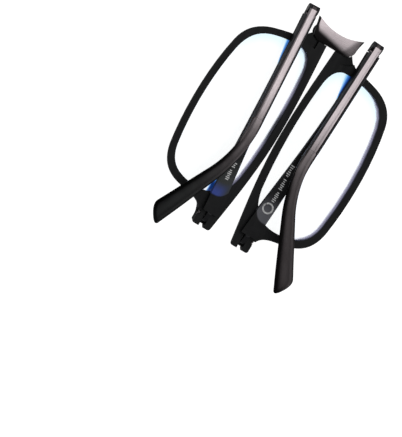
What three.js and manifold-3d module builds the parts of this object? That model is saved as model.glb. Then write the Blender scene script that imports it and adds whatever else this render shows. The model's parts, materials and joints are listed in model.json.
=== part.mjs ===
// Folding reading glasses, folded flat: each rim turns on a pivot at the end of the bridge, each
// temple folds at the endpiece onto the back of its rim, and its rear half folds back over the
// front half at a middle hinge. The fronts of the rims lie on the surface, at Z = 0.
// X runs across the bridge, +Y from the endpieces to the nose side, +Z to the wearer's side.
// Every outline is drawn for the side at +X. A side of -1 mirrors it in X.
import * as THREE from 'three';
import { mergeVertices } from 'three/addons/utils/BufferGeometryUtils.js';
import Module from 'manifold-3d';

const wasm = await Module();
wasm.setup();

// Driving dimensions, in millimetres and degrees.
const CURVE_STEPS = 9;
const ROUND_STEPS = 28;
const GAP = 0.15;
const RIM_THICK = 3.6;
const DRAFT = { inset: 0.75, height: 2.2 };
const ENDPIECE = { inner: 3.5, outer: 8.8, end: -63.8, corner: 0.8, notch: 0.9 };
const BRIDGE = { halfWidth: 7.2, flank: 0.5, saddle: 0.0335, lower: -4.25, frontPlate: 0.45, core: 2.15, top: 3.1 };
const COVER_THICK = 0.6;
const PIVOT = { x: 4.0, y: -1.8, core: 2.45, shoulder: 2.65, eye: 2.2, pin: 0.8, sweep: 5.0 };
const TONGUE = { low: 0.95, high: 1.75, slotLow: 0.8, slotHigh: 2.05 };
const WASHER = { radius: 1.7, low: 1.82, high: 1.97 };
const LENS = { low: 1.75, high: 2.95, inRim: 0.6, frontSag: 0.95, backSag: 0.3, rings: 3 };
const GROOVE = { low: 1.6, high: 3.1, depth: 0.85 };
const HINGE = { x: 6.1, y: -60.6, z: 2.7, knuckle: 1.5, leaf: 1.2, slot: 1.5, screw: 0.5, head: 0.95 };
const FRONT = { low: 3.9, high: 5.6, start: 1.2 };
const MIDDLE = { x: 10.3, y: 1.9, z: 5.72, knuckle: 1.4, width: 3.05, eye: 1.1, end: 2.0 };
const MIDDLE_SCREW = { radius: 0.5, head: 0.9, headLength: 0.35 };
const MIDDLE_YAW = 3;
const REST_RISE = 4;
const REAR = { low: 0.12, high: 2.0, width: 3.1, tipWidth: 5.4, offset: 0.2, rail: 0.45 };
const COVER = { floor: 1.5, gap: 0.1, start: 0, end: 33.0 };
const BEND = { start: 35.2, radius: 34, angle: 29, tail: 19.7 };
const WIDEN = { from: 38, to: 78 };
const SLEEVE = { start: 33.5, low: 0.03, high: 2.1, extra: 0.1 };
const TANG = { half: 0.75, low: 0.75, high: 1.3, end: 58 };
const LEAF_TANG = { half: 0.85, length: 4.2, low: 0.5, high: 1.1 };

const FINISH = {
  blackFrame: { color: 0x17181a, roughness: 0.55, metalness: 0 },
  gunmetal: { color: 0x9a8f91, roughness: 0.35, metalness: 0.9 },
  darkMetal: { color: 0x232427, roughness: 0.4, metalness: 0.8 },
  steel: { color: 0xb9bbbe, roughness: 0.3, metalness: 1 },
  nylon: { color: 0x2a2b2d, roughness: 0.6, metalness: 0 },
  lens: { color: 0xdfe9f2, roughness: 0.05, metalness: 0, transparent: true, opacity: 0.3 },
  tip: { color: 0x241f20, roughness: 0.5, metalness: 0 },
};

// Solids

function material(finish) {
  return new THREE.MeshStandardMaterial(FINISH[finish]);
}

function solidOf(geometry) {
  const bare = geometry.clone();
  bare.deleteAttribute('normal');
  bare.deleteAttribute('uv');
  const merged = mergeVertices(bare, 1e-5);
  return new wasm.Manifold(new wasm.Mesh({
    numProp: 3,
    vertProperties: new Float32Array(merged.attributes.position.array),
    triVerts: new Uint32Array(merged.index.array),
  }));
}

function piece(name, solid, finish) {
  const { vertProperties, triVerts } = solid.getMesh();
  const geometry = new THREE.BufferGeometry();
  geometry.setAttribute('position', new THREE.BufferAttribute(vertProperties, 3));
  geometry.setIndex(new THREE.BufferAttribute(triVerts, 1));
  geometry.computeVertexNormals();
  const mesh = new THREE.Mesh(geometry, material(finish));
  mesh.name = name;
  return mesh;
}

function plate(outline, low, high) {
  const shape = Array.isArray(outline) ? new THREE.Shape(outline) : outline;
  const geometry = new THREE.ExtrudeGeometry(shape, {
    depth: high - low, bevelEnabled: false, curveSegments: CURVE_STEPS,
  });
  return solidOf(geometry.translate(0, 0, low));
}

// A plate of the outline whose lower face is drawn in by about the inset all round.
function drafted(outline, inset, low, high) {
  const box = new THREE.Box2().setFromPoints(outline);
  const centre = box.getCenter(new THREE.Vector2());
  const size = box.getSize(new THREE.Vector2());
  const geometry = new THREE.ExtrudeGeometry(new THREE.Shape(outline), {
    depth: high - low, bevelEnabled: false,
  });
  const place = geometry.attributes.position;
  for (let i = 0; i < place.count; i += 1) {
    if (place.getZ(i) > 0) continue;
    const x = place.getX(i) - centre.x;
    const y = place.getY(i) - centre.y;
    place.setXY(i, centre.x + x * (1 - (2 * inset) / size.x), centre.y + y * (1 - (2 * inset) / size.y));
  }
  return solidOf(geometry.translate(0, 0, low)).intersect(plate(outline, low, high));
}

function disc(x, y, radius, low, high) {
  const geometry = new THREE.CylinderGeometry(radius, radius, high - low, ROUND_STEPS);
  geometry.rotateX(Math.PI / 2).translate(x, y, (low + high) / 2);
  return solidOf(geometry);
}

// A cylinder along X, centred on y, z.
function barrel(y, z, radius, from, to) {
  const geometry = new THREE.CylinderGeometry(radius, radius, Math.abs(to - from), ROUND_STEPS);
  geometry.rotateZ(Math.PI / 2).translate((from + to) / 2, y, z);
  return solidOf(geometry);
}

function block(x, y, z) {
  const geometry = new THREE.BoxGeometry(Math.abs(x[1] - x[0]), y[1] - y[0], z[1] - z[0]);
  return solidOf(geometry.translate((x[0] + x[1]) / 2, (y[0] + y[1]) / 2, (z[0] + z[1]) / 2));
}

// A profile of [y, z] points, extruded along X.
function sideProfile(points, from, to) {
  const shape = new THREE.Shape(points.map(([y, z]) => new THREE.Vector2(y, z)));
  const depth = Math.abs(to - from);
  const geometry = new THREE.ExtrudeGeometry(shape, { depth, bevelEnabled: false });
  // The shape's own x, y and depth become Y, Z and X.
  const turn = new THREE.Matrix4().makeBasis(
    new THREE.Vector3(0, 1, 0), new THREE.Vector3(0, 0, 1), new THREE.Vector3(1, 0, 0));
  return solidOf(geometry.applyMatrix4(turn).translate(Math.min(from, to), 0, 0));
}

function moved(solid, matrix) {
  const { vertProperties, triVerts } = solid.getMesh();
  const geometry = new THREE.BufferGeometry();
  geometry.setAttribute('position', new THREE.BufferAttribute(vertProperties.slice(), 3));
  geometry.setIndex(new THREE.BufferAttribute(triVerts, 1));
  return solidOf(geometry.applyMatrix4(matrix));
}

function mirrored(points, side) {
  return points.map((p) => new THREE.Vector2(side * p.x, p.y));
}

// The outline moved outward by a distance, along the mean of each point's two edge normals.
function grown(points, distance) {
  const clockwise = THREE.ShapeUtils.isClockWise(points);
  return points.map((p, i) => {
    const before = points[(i + points.length - 1) % points.length];
    const after = points[(i + 1) % points.length];
    const along = after.clone().sub(before).normalize();
    const outward = new THREE.Vector2(along.y, -along.x).multiplyScalar(clockwise ? -1 : 1);
    return p.clone().addScaledVector(outward, distance);
  });
}

function sampled(shape) {
  const points = shape.getPoints(CURVE_STEPS);
  const closed = points[0].distanceTo(points[points.length - 1]) < 1e-6;
  return closed ? points.slice(0, -1) : points;
}

// Outlines, for the side at +X

function rimOutline() {
  const { inner, outer, end, corner } = ENDPIECE;
  const edge = new THREE.Shape();
  const armTop = PIVOT.y - PIVOT.shoulder;
  edge.moveTo(1.45, armTop);
  edge.bezierCurveTo(1.0, -12, 0.2, -20, 0.2, -31);
  edge.bezierCurveTo(0.2, -43, 2.0, -53.4, inner - 0.1, end + corner);
  edge.quadraticCurveTo(inner, end, inner + corner, end);
  edge.lineTo(outer - corner, end);
  edge.quadraticCurveTo(outer, end, outer, end + corner);
  edge.lineTo(outer, -61.8);
  edge.bezierCurveTo(outer, -59.4, 10.2, -58.1, 13.0, -57.5);
  edge.bezierCurveTo(15.6, -57.0, 18.2, -56.7, 20.2, -55.6);
  edge.bezierCurveTo(22.9, -54.2, 24.3, -51.6, 24.9, -48.5);
  edge.bezierCurveTo(26.4, -39, 26.5, -26, 24.2, -15.5);
  edge.bezierCurveTo(23.3, -11.3, 20.6, -8.9, 16.8, -7.6);
  edge.bezierCurveTo(14.5, -6.9, 11.6, -6.2, 9.6, -5.9);
  edge.bezierCurveTo(8.2, -5.7, 7.3, -4.4, 6.36, -3.0);
  const shoulderStart = THREE.MathUtils.degToRad(-27);
  edge.absarc(PIVOT.x, PIVOT.y, PIVOT.shoulder, shoulderStart, -Math.PI / 2, true);
  return sampled(edge);
}

function openingOutline() {
  const edge = new THREE.Shape();
  edge.moveTo(2.9, -13.5);
  edge.bezierCurveTo(1.9, -22, 1.75, -35, 3.2, -46.5);
  edge.bezierCurveTo(4.1, -51.5, 6.2, -54.2, 10.5, -54.9);
  edge.bezierCurveTo(13.0, -55.2, 15.8, -55.0, 18.0, -54.2);
  edge.bezierCurveTo(21.0, -53.2, 22.6, -51, 23.2, -47.5);
  edge.bezierCurveTo(24.6, -38, 24.6, -27, 22.7, -17.3);
  edge.bezierCurveTo(21.7, -12.6, 19.4, -10.2, 15.3, -9.1);
  edge.bezierCurveTo(12.6, -8.4, 10.2, -8.1, 8.0, -8.1);
  edge.bezierCurveTo(4.9, -8.1, 3.5, -9.8, 2.9, -13.5);
  return sampled(edge);
}

function frontTempleOutline() {
  const start = HINGE.y + FRONT.start;
  const end = MIDDLE.y - MIDDLE.end;
  const edge = new THREE.Shape();
  edge.moveTo(3.9, start);
  edge.bezierCurveTo(4.7, -47, 8.7, -28, 8.78, end);
  edge.lineTo(8.78 + MIDDLE.width, end);
  edge.bezierCurveTo(9.4, -30, 9.6, -48, 8.3, start);
  return sampled(edge);
}

// The saddle of the bridge: a hollowed edge on the nose side, flared corners, drawn-in flanks.
function saddleOutline(w) {
  const corner = BRIDGE.saddle * w * w;
  const edge = new THREE.Shape();
  edge.moveTo(-w, corner);
  edge.quadraticCurveTo(0, -corner, w, corner);
  edge.quadraticCurveTo(w - 0.45, 0.2, PIVOT.x + PIVOT.core, PIVOT.y);
  edge.absarc(PIVOT.x, PIVOT.y, PIVOT.core, 0, -Math.PI / 2, true);
  edge.lineTo(-PIVOT.x, BRIDGE.lower);
  edge.absarc(-PIVOT.x, PIVOT.y, PIVOT.core, -Math.PI / 2, -Math.PI, true);
  edge.quadraticCurveTo(-w + 0.45, 0.2, -w, corner);
  return sampled(edge);
}

// The centre line of the rear half: straight, then one bend down behind the ear, then straight.
function rearStation(s) {
  const turn = THREE.MathUtils.degToRad(BEND.angle);
  const bent = THREE.MathUtils.clamp((s - BEND.start) / BEND.radius, 0, turn);
  const tail = Math.max(0, s - BEND.start - BEND.radius * turn);
  const straight = Math.min(s, BEND.start);
  const x = REAR.offset + BEND.radius * (1 - Math.cos(bent)) + tail * Math.sin(bent);
  const y = -(straight + BEND.radius * Math.sin(bent) + tail * Math.cos(bent));
  const wider = THREE.MathUtils.smoothstep(s, WIDEN.from, WIDEN.to);
  const half = (REAR.width + (REAR.tipWidth - REAR.width) * wider) / 2;
  const across = new THREE.Vector2(Math.cos(bent), Math.sin(bent));
  return { centre: new THREE.Vector2(x, y), across, half };
}

// A strip along that centre line. inset narrows it, and a given half width replaces its own.
function stripOutline(from, to, inset, fixedHalf) {
  const steps = Math.max(2, Math.round((to - from) / 2.2));
  const brow = [];
  const cheek = [];
  for (let i = 0; i <= steps; i += 1) {
    const { centre, across, half } = rearStation(from + ((to - from) * i) / steps);
    const reach = fixedHalf ?? half - inset;
    brow.push(centre.clone().addScaledVector(across, -reach));
    cheek.push(centre.clone().addScaledVector(across, reach));
  }
  return { brow, cheek };
}

function stripShape(from, to, inset, fixedHalf) {
  const { brow, cheek } = stripOutline(from, to, inset, fixedHalf);
  return [...brow, ...cheek.reverse()];
}

// The tip's end is cut aslant and rounded, longer on the brow side.
function sleeveShape() {
  const end = BEND.start + BEND.radius * THREE.MathUtils.degToRad(BEND.angle) + BEND.tail;
  const { brow, cheek } = stripOutline(SLEEVE.start, end - 2.6, -SLEEVE.extra);
  const { centre, across } = rearStation(end);
  const along = new THREE.Vector2(across.y, -across.x);
  const from = brow[brow.length - 1];
  const to = cheek[cheek.length - 1];
  const round = new THREE.CubicBezierCurve(
    from,
    centre.clone().addScaledVector(across, -2.2).addScaledVector(along, 2.6),
    centre.clone().addScaledVector(across, 1.9).addScaledVector(along, 1.2),
    to);
  return [...brow, ...round.getPoints(12).slice(1, -1), ...cheek.reverse()];
}

// Bridge

function bridge() {
  const group = new THREE.Group();
  const saddle = saddleOutline(BRIDGE.halfWidth);
  const face = saddleOutline(BRIDGE.halfWidth - BRIDGE.flank);
  let core = new THREE.Shape();
  core.moveTo(-PIVOT.x, BRIDGE.lower);
  core.lineTo(PIVOT.x, BRIDGE.lower);
  core.absarc(PIVOT.x, PIVOT.y, PIVOT.core, -Math.PI / 2, Math.PI * 0.42, false);
  core.quadraticCurveTo(0, -0.45, -PIVOT.x - PIVOT.core * Math.cos(Math.PI * 0.42),
    PIVOT.y + PIVOT.core * Math.sin(Math.PI * 0.42));
  core.absarc(-PIVOT.x, PIVOT.y, PIVOT.core, Math.PI * 0.58, Math.PI * 1.5, false);
  core = sampled(core);
  let body = plate(core, BRIDGE.frontPlate, BRIDGE.core).add(plate(saddle, BRIDGE.core, BRIDGE.top));
  const web = PIVOT.x - PIVOT.eye - GAP;
  for (const side of [1, -1]) {
    const slot = [TONGUE.slotLow, TONGUE.slotHigh];
    body = body.subtract(block([side * web, side * 8], [-5, 3], slot));
    const pinTop = BRIDGE.core + 0.45;
    body = body.subtract(disc(side * PIVOT.x, PIVOT.y, PIVOT.pin + GAP, 0, pinTop));
  }
  group.add(piece('bridge_body', body, 'blackFrame'));
  group.add(piece('bridge_cover', plate(face, BRIDGE.top, BRIDGE.top + COVER_THICK), 'gunmetal'));
  group.add(piece('bridge_front_plate', plate(core, 0, BRIDGE.frontPlate), 'gunmetal'));
  for (const [side, label] of [[1, 'left'], [-1, 'right']]) {
    const x = side * PIVOT.x;
    const pin = disc(x, PIVOT.y, PIVOT.pin, BRIDGE.frontPlate + 0.1, BRIDGE.core + 0.3);
    group.add(piece(`bridge_pin_${label}`, pin, 'steel'));
    const washer = disc(x, PIVOT.y, WASHER.radius, WASHER.low, WASHER.high)
      .subtract(disc(x, PIVOT.y, PIVOT.pin + GAP, 0, RIM_THICK));
    group.add(piece(`bridge_washer_${label}`, washer, 'nylon'));
  }
  return group;
}

// Rims and lenses

function rim(side, label) {
  const outline = mirrored(rimOutline(), side);
  const opening = mirrored(openingOutline(), side);
  const groove = plate(grown(opening, GROOVE.depth), GROOVE.low, GROOVE.high);
  let body = drafted(outline, DRAFT.inset, 0, DRAFT.height)
    .add(plate(outline, DRAFT.height, RIM_THICK))
    .subtract(plate(opening, -1, RIM_THICK + 1))
    .subtract(groove);
  const neck = [[PIVOT.x - PIVOT.eye, -5.2], [PIVOT.x + 1.9, -5.2], [PIVOT.x + 1.9, PIVOT.y - 0.9],
    [PIVOT.x, PIVOT.y], [PIVOT.x - PIVOT.eye, PIVOT.y]].map(([x, y]) => new THREE.Vector2(x, y));
  const tongue = plate(mirrored(neck, side), TONGUE.low, TONGUE.high)
    .add(disc(side * PIVOT.x, PIVOT.y, PIVOT.eye, TONGUE.low, TONGUE.high));
  // The flared end of the bridge passes over the outer half of the arm as the rim turns.
  const underFlare = disc(side * PIVOT.x, PIVOT.y, PIVOT.sweep, BRIDGE.core - GAP, RIM_THICK + 1)
    .intersect(block([side * (PIVOT.x - 0.1), side * 9], [-8, 3], [0, 9]));
  body = body.subtract(underFlare);
  body = body.add(tongue).subtract(disc(side * PIVOT.x, PIVOT.y, PIVOT.pin + GAP, 0, RIM_THICK));
  const halfSlot = HINGE.slot / 2;
  const slotX = [side * (HINGE.x - halfSlot), side * (HINGE.x + halfSlot)];
  const slotEnd = HINGE.y + HINGE.knuckle + 0.6;
  const notchEnd = ENDPIECE.end + ENDPIECE.notch;
  body = body.subtract(block(slotX, [-66, slotEnd], [HINGE.z - HINGE.knuckle - 0.3, RIM_THICK + 1]));
  body = body.subtract(block(slotX, [-66, notchEnd], [-1, RIM_THICK + 1]));
  body = body.subtract(barrel(HINGE.y, HINGE.z, HINGE.screw + GAP, side * 4.4, side * 9.5));
  body = body.subtract(barrel(HINGE.y, HINGE.z, HINGE.head + GAP, side * 8.2, side * 9.5));
  return piece(`rim_${label}`, body, 'blackFrame');
}

// A shallow meniscus with a level edge: rings of points from the centre out to the outline.
function lens(side, label) {
  const outline = grown(openingOutline(), LENS.inRim).filter((_, i) => i % 2 === 0);
  const centre = new THREE.Vector2();
  outline.forEach((p) => centre.addScaledVector(p, 1 / outline.length));
  const count = outline.length;
  const positions = [];
  const index = [];
  const surface = (edge, sag, up) => {
    const first = positions.length / 3;
    positions.push(side * centre.x, centre.y, edge - sag);
    for (let ring = 1; ring <= LENS.rings; ring += 1) {
      const reach = ring / LENS.rings;
      outline.forEach((p) => {
        const spot = centre.clone().lerp(p, reach);
        positions.push(side * spot.x, spot.y, edge - sag * (1 - reach * reach));
      });
    }
    const at = (ring, i) => (ring === 0 ? first : first + 1 + (ring - 1) * count + (i % count));
    const face = (a, b, c) => (up ? index.push(a, b, c) : index.push(a, c, b));
    for (let i = 0; i < count; i += 1) {
      face(first, at(1, i), at(1, i + 1));
      for (let ring = 1; ring < LENS.rings; ring += 1) {
        face(at(ring, i), at(ring + 1, i), at(ring + 1, i + 1));
        face(at(ring, i), at(ring + 1, i + 1), at(ring, i + 1));
      }
    }
    return (i) => at(LENS.rings, i);
  };
  // openingOutline runs anticlockwise seen from +Z, and mirroring turns it round.
  const up = side > 0;
  const front = surface(LENS.low, LENS.frontSag, !up);
  const back = surface(LENS.high, LENS.backSag, up);
  for (let i = 0; i < count; i += 1) {
    const quad = [front(i), front(i + 1), back(i + 1), back(i)];
    const order = up ? [0, 1, 2, 0, 2, 3] : [0, 2, 1, 0, 3, 2];
    order.forEach((k) => index.push(quad[k]));
  }
  const geometry = new THREE.BufferGeometry();
  geometry.setAttribute('position', new THREE.Float32BufferAttribute(positions, 3));
  geometry.setIndex(index);
  return piece(`lens_${label}`, solidOf(geometry), 'lens');
}

// Screws lie along X with their head away from the nose and a slot across the head.
function screw(side, from, to, radius, head, headLength) {
  const slotDeep = 0.18;
  return barrel(0, 0, radius, side * from, side * (to - headLength / 2))
    .add(barrel(0, 0, head, side * (to - headLength), side * to))
    .subtract(block([side * (to - slotDeep), side * (to + 1)], [-0.13, 0.13], [-2, 2]));
}

// Temple, front half: drawn in the bridge's frame and hung on a group at the endpiece hinge.

function frontTemple(side, label) {
  const group = new THREE.Group();
  group.position.set(side * HINGE.x, HINGE.y, HINGE.z);
  const toHinge = new THREE.Matrix4().makeTranslation(-side * HINGE.x, -HINGE.y, -HINGE.z);

  const tangZ = [1.65, 2.45];
  const tangY = [FRONT.start - 0.15, 7.2];
  const half = HINGE.leaf / 2;
  const neck = sideProfile([[-0.9, 1.2], [0.9, 2.45], [1.3, 2.45], [1.3, 1.65], [1.05, 1.65],
    [1.05, 0.9], [0, 0]], -half, half);
  const leaf = barrel(0, 0, HINGE.knuckle, -half, half)
    .add(neck)
    .add(block([-half, half], tangY, tangZ))
    .subtract(barrel(0, 0, HINGE.screw + GAP, -2, 2));
  group.add(piece(`temple_leaf_${label}`, leaf, 'darkMetal'));

  const forkPocket = block([-LEAF_TANG.half - GAP - 0.2, LEAF_TANG.half + GAP + 0.2],
    [-MIDDLE.end - LEAF_TANG.length - GAP, -MIDDLE.end + 1], [-LEAF_TANG.high - GAP, -LEAF_TANG.low + GAP]);
  const body = moved(plate(mirrored(frontTempleOutline(), side), FRONT.low, FRONT.high), toHinge)
    .subtract(block([-half - GAP, half + GAP], [0, tangY[1] + GAP], [tangZ[0] - GAP, tangZ[1] + GAP]))
    .subtract(moved(moved(forkPocket, middleFrame(side)), toHinge));
  group.add(piece(`temple_front_${label}`, body, 'blackFrame'));

  const pin = screw(side, -1.6, 2.65, HINGE.screw, HINGE.head, 0.4);
  const hingeScrew = piece(`hinge_screw_${label}`, pin, 'steel');
  hingeScrew.position.copy(group.position);
  return [group, hingeScrew];
}

// Middle hinge: a fork on the front half, an eye on the rear half, a screw through both.

function middleFrame(side) {
  const yaw = new THREE.Matrix4().makeRotationZ(THREE.MathUtils.degToRad(-side * MIDDLE_YAW));
  return yaw.setPosition(side * MIDDLE.x, MIDDLE.y, MIDDLE.z);
}

// up is 1 for the rear half's leaf and -1 for the front half's.
function hingeLeaf(up, spans) {
  const outer = MIDDLE.width / 2;
  const order = (a, b) => (a < b ? [a, b] : [b, a]);
  const shoulder = block([-outer, outer], [-MIDDLE.end + 0.15, -MIDDLE.knuckle - 0.1],
    order(up * 0.2, up * 1.4));
  const tang = block([-LEAF_TANG.half, LEAF_TANG.half],
    [-MIDDLE.end - LEAF_TANG.length, -MIDDLE.knuckle - 0.2], order(up * LEAF_TANG.low, up * LEAF_TANG.high));
  let leaf = shoulder.add(tang);
  for (const [from, to] of spans) {
    const neck = [[-MIDDLE.knuckle - 0.15, up * 0.25], [0, 0], [0, up * 1.35],
      [-MIDDLE.knuckle - 0.15, up * 1.35]];
    leaf = leaf.add(barrel(0, 0, MIDDLE.knuckle, from, to)).add(sideProfile(neck, from, to));
  }
  return leaf.subtract(barrel(0, 0, MIDDLE_SCREW.radius + GAP, -3, 3));
}

function middleHinge(side, label) {
  const group = new THREE.Group();
  group.applyMatrix4(middleFrame(side));
  const outer = MIDDLE.width / 2;
  const inner = MIDDLE.eye / 2 + 0.12;
  const headEnd = side * outer;
  const fork = hingeLeaf(-1, [[-outer, -inner], [inner, outer]])
    .subtract(barrel(0, 0, MIDDLE_SCREW.head + 0.12, headEnd - side * 0.45, headEnd + side));
  group.add(piece(`middle_fork_${label}`, fork, 'darkMetal'));
  const pin = screw(side, -outer + 0.1, outer, MIDDLE_SCREW.radius, MIDDLE_SCREW.head,
    MIDDLE_SCREW.headLength);
  group.add(piece(`middle_screw_${label}`, pin, 'steel'));
  return group;
}

// Temple, rear half: drawn in the middle hinge's frame, lying over the front half and rising a
// few degrees towards the tip.

function rearTemple(side, label) {
  const group = new THREE.Group();
  const rise = new THREE.Matrix4().makeRotationX(THREE.MathUtils.degToRad(-REST_RISE));
  group.applyMatrix4(middleFrame(side).multiply(rise));
  const eyeHalf = MIDDLE.eye / 2;
  group.add(piece(`middle_eye_${label}`, hingeLeaf(1, [[-eyeHalf, eyeHalf]]), 'darkMetal'));

  const pocket = block([-LEAF_TANG.half - GAP, LEAF_TANG.half + GAP],
    [-MIDDLE.end - LEAF_TANG.length - GAP, 0], [LEAF_TANG.low - GAP, LEAF_TANG.high + GAP]);
  const railTop = stripShape(0, COVER.end + 1, REAR.rail);
  const strip = plate(mirrored(stripShape(MIDDLE.end, SLEEVE.start - 0.3, 0), side), REAR.low, REAR.high)
    .subtract(plate(mirrored(railTop, side), COVER.floor, REAR.high + 1))
    .subtract(pocket)
    .add(plate(mirrored(stripShape(SLEEVE.start - 1, TANG.end, 0, TANG.half), side), TANG.low, TANG.high));
  group.add(piece(`temple_rear_${label}`, strip, 'darkMetal'));

  const coverShape = stripShape(COVER.start, COVER.end, REAR.rail + COVER.gap);
  group.add(piece(`temple_cover_${label}`,
    plate(mirrored(coverShape, side), COVER.floor, REAR.high), 'gunmetal'));

  const tangPocket = stripShape(SLEEVE.start - 1, TANG.end + 0.3, 0, TANG.half + GAP);
  const sleeve = plate(mirrored(sleeveShape(), side), SLEEVE.low, SLEEVE.high)
    .subtract(plate(mirrored(tangPocket, side), TANG.low - GAP, TANG.high + GAP));
  group.add(piece(`temple_tip_${label}`, sleeve, 'tip'));
  return group;
}

// The whole object, standing on Z = 0 with its box centred on X and Y.

const glasses = new THREE.Group();
glasses.add(bridge());
for (const [side, label] of [[1, 'left'], [-1, 'right']]) {
  glasses.add(rim(side, label), lens(side, label));
  glasses.add(...frontTemple(side, label));
  glasses.add(middleHinge(side, label), rearTemple(side, label));
}
glasses.updateMatrixWorld(true);
const box = new THREE.Box3().setFromObject(glasses, true);
const middle = box.getCenter(new THREE.Vector3());
glasses.position.set(-middle.x, -middle.y, -box.min.z);

export default glasses;
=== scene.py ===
"""The folding reading glasses, dressed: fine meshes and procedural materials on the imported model.

The camera comes first, then the stage and lights, the materials, and one section for each piece.
"""
import json
import math

import bmesh
import bpy
from mathutils import Matrix, Vector


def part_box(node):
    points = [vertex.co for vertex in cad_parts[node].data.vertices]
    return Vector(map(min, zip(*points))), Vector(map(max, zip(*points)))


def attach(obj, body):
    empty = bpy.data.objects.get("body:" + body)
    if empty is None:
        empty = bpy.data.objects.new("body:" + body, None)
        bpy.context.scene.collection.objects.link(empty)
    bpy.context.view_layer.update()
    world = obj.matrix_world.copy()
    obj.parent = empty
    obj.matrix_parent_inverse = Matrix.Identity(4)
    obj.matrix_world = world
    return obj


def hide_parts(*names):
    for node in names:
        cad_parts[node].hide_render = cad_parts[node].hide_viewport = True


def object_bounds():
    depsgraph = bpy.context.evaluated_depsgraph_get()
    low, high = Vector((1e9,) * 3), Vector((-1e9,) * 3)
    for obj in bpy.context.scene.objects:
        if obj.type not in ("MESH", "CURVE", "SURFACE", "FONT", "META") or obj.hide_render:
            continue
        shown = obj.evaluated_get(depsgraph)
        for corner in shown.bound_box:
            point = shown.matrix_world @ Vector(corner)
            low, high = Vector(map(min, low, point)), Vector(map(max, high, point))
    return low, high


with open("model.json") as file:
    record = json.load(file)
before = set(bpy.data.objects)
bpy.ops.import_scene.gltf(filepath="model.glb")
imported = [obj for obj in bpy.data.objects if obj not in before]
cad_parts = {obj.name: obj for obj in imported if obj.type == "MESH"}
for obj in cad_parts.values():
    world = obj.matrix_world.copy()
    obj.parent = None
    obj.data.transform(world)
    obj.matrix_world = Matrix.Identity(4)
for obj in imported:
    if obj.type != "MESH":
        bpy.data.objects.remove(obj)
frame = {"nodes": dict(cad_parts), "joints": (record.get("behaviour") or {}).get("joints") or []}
cad_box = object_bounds()

MM = 0.001
SIDES = (("left", 1), ("right", -1))
nodes = frame["nodes"]
joints = {j["name"]: j for j in frame["joints"]}

# The rear half's sizes, along its centre line and across it, as the model has them in the middle
# hinge's frame.
STRIP_WIDTH = 3.1 * MM
TIP_WIDTH = 5.4 * MM
STRIP_OFFSET = 0.2 * MM
BEND_START = 35.2 * MM
BEND_RADIUS = 34 * MM
BEND_ANGLE = math.radians(29)
TAIL = 19.7 * MM
WIDEN_FROM = 38 * MM
WIDEN_TO = 78 * MM
REST_RISE = math.radians(4)
RAIL = 0.55 * MM
RAIL_LOWER = 0.47 * MM
COVER_FLOOR = 1.5 * MM
COVER_TOP = 2.0 * MM
COVER_START = 0.0 * MM
COVER_END = 33.0 * MM
SLEEVE_START = 33.05 * MM
SLEEVE_LOW = 0.03 * MM
SLEEVE_HIGH = 2.1 * MM


# Camera

CAMERA_TILT = math.radians(12)
CAMERA_ROLL = math.radians(30.565)
CAMERA_DISTANCE = 1.4
CAMERA_LENS = 426.7
SENSOR = 36
# Where the view's centre meets the rims' upper face: across from the middle, up from their ends.
AIM_ACROSS = -7.155 * MM
AIM_UP = 1.92 * MM


def make_camera():
    back = Vector((-math.sin(CAMERA_TILT), 0, math.cos(CAMERA_TILT)))
    level = Vector((math.cos(CAMERA_TILT), 0, math.sin(CAMERA_TILT)))
    away = Vector((0, 1, 0))
    up = away * math.cos(CAMERA_ROLL) - level * math.sin(CAMERA_ROLL)
    right = level * math.cos(CAMERA_ROLL) + away * math.sin(CAMERA_ROLL)
    data = bpy.data.cameras.new("camera")
    data.lens = CAMERA_LENS
    data.sensor_width = SENSOR
    data.clip_end = 10
    camera = bpy.data.objects.new("camera", data)
    bpy.context.scene.collection.objects.link(camera)
    place = Matrix((right, up, back)).transposed().to_4x4()
    rim_low, rim_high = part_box("rim_left")
    aim = Vector((AIM_ACROSS, rim_low.y + AIM_UP, rim_high.z))
    place.translation = aim + back * CAMERA_DISTANCE
    camera.matrix_world = place
    bpy.context.scene.camera = camera


make_camera()
bpy.context.scene.view_settings.view_transform = "Standard"


# Material helpers: a Maker writes one node tree

NOISE_LOW = 0.3
NOISE_HIGH = 0.7


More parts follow.
